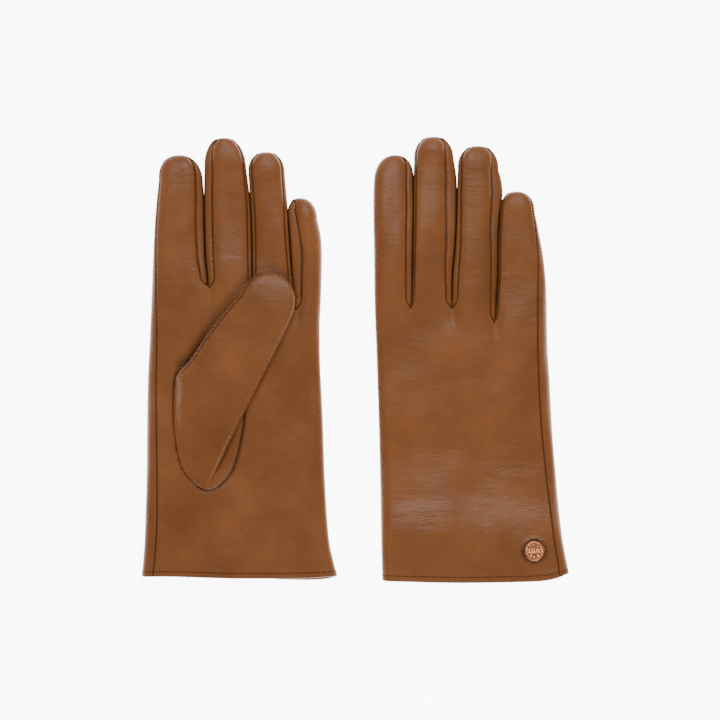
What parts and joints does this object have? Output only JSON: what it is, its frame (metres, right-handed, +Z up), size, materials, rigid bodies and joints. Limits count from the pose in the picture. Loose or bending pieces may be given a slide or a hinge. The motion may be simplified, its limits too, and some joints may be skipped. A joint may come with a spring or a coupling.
{
  "type": "leather gloves",
  "caption": "Pair of lined leather dress gloves lying flat, one palm up and one back up, with folded thumbs and a small metal emblem near one cuff.",
  "frame": {"origin": "centre of the pair's outline, on the surface that the gloves lie on", "axes": "+X from the left glove to the right one, +Y from the cuffs to the fingertips, +Z up"},
  "size_m": [0.2424, 0.2524, 0.0163],
  "materials": {
    "leather": "smooth semi-matt nappa",
    "lining": "fine knit",
    "thread": "waxed thread",
    "emblem_metal": "satin rose gold plate",
    "washer_metal": "plain"
  },
  "bodies": {
    "left_hand": {"left_palm_panel": "leather", "left_back_panel": "leather", "left_fork_gussets": "leather", "left_hem": "leather", "left_hand_lining": "lining", "left_hem_thread": "thread", "left_side_thread": "thread", "left_thumb_seam_thread": "thread", "left_thumb_base": "leather", "left_thumb_base_lining": "lining"},
    "left_thumb": {"left_thumb": "leather", "left_thumb_lining": "lining"},
    "left_index": {"left_index_palm": "leather", "left_index_back": "leather", "left_index_fourchettes": "leather", "left_index_lining": "lining"},
    "left_middle": {"left_middle_palm": "leather", "left_middle_back": "leather", "left_middle_fourchettes": "leather", "left_middle_lining": "lining"},
    "left_ring": {"left_ring_palm": "leather", "left_ring_back": "leather", "left_ring_fourchettes": "leather", "left_ring_lining": "lining"},
    "left_little": {"left_little_palm": "leather", "left_little_back": "leather", "left_little_fourchettes": "leather", "left_little_lining": "lining"},
    "right_hand": {"right_palm_panel": "leather", "right_back_panel": "leather", "right_fork_gussets": "leather", "right_hem": "leather", "right_hand_lining": "lining", "right_hem_thread": "thread", "right_side_thread": "thread", "right_thumb_seam_thread": "thread", "right_thumb_base": "leather", "right_thumb_base_lining": "lining", "emblem": "emblem_metal", "emblem_washer": "washer_metal"},
    "right_thumb": {"right_thumb": "leather", "right_thumb_lining": "lining"},
    "right_index": {"right_index_palm": "leather", "right_index_back": "leather", "right_index_fourchettes": "leather", "right_index_lining": "lining"},
    "right_middle": {"right_middle_palm": "leather", "right_middle_back": "leather", "right_middle_fourchettes": "leather", "right_middle_lining": "lining"},
    "right_ring": {"right_ring_palm": "leather", "right_ring_back": "leather", "right_ring_fourchettes": "leather", "right_ring_lining": "lining"},
    "right_little": {"right_little_palm": "leather", "right_little_back": "leather", "right_little_fourchettes": "leather", "right_little_lining": "lining"}
  },
  "joints": [
    {"name": "right_hand_slide", "type": "slide", "parent": "left_hand", "child": "right_hand", "axis": [1, 0, 0], "range_m": [0, 0.12]},
    {"name": "left_thumb_swing", "type": "hinge", "parent": "left_hand", "child": "left_thumb", "pos_m": [-0.0698, -0.00475, 0.0128], "axis": [0, 0, 1], "range_deg": [0, 60]},
    {"name": "left_index_curl", "type": "hinge", "parent": "left_hand", "child": "left_index", "pos_m": [-0.1002, 0.058, 0.009], "axis": [1, 0, 0], "range_deg": [0, 75]},
    {"name": "left_middle_curl", "type": "hinge", "parent": "left_hand", "child": "left_middle", "pos_m": [-0.0719, 0.058, 0.009], "axis": [1, 0, 0], "range_deg": [0, 75]},
    {"name": "left_ring_curl", "type": "hinge", "parent": "left_hand", "child": "left_ring", "pos_m": [-0.04765, 0.058, 0.009], "axis": [1, 0, 0], "range_deg": [0, 75]},
    {"name": "left_little_curl", "type": "hinge", "parent": "left_hand", "child": "left_little", "pos_m": [-0.02745, 0.047, 0.009], "axis": [1, 0, 0], "range_deg": [0, 75]},
    {"name": "right_thumb_swing", "type": "hinge", "parent": "right_hand", "child": "right_thumb", "pos_m": [0.0594, -0.00475, 0.0035], "axis": [0, 0, 1], "range_deg": [0, 60]},
    {"name": "right_index_curl", "type": "hinge", "parent": "right_hand", "child": "right_index", "pos_m": [0.0219, 0.058, 0.0163], "axis": [1, 0, 0], "range_deg": [0, 75]},
    {"name": "right_middle_curl", "type": "hinge", "parent": "right_hand", "child": "right_middle", "pos_m": [0.04455, 0.058, 0.0163], "axis": [1, 0, 0], "range_deg": [0, 75]},
    {"name": "right_ring_curl", "type": "hinge", "parent": "right_hand", "child": "right_ring", "pos_m": [0.06885, 0.058, 0.0163], "axis": [1, 0, 0], "range_deg": [0, 75]},
    {"name": "right_little_curl", "type": "hinge", "parent": "right_hand", "child": "right_little", "pos_m": [0.0955, 0.047, 0.0163], "axis": [1, 0, 0], "range_deg": [0, 75]}
  ]
}
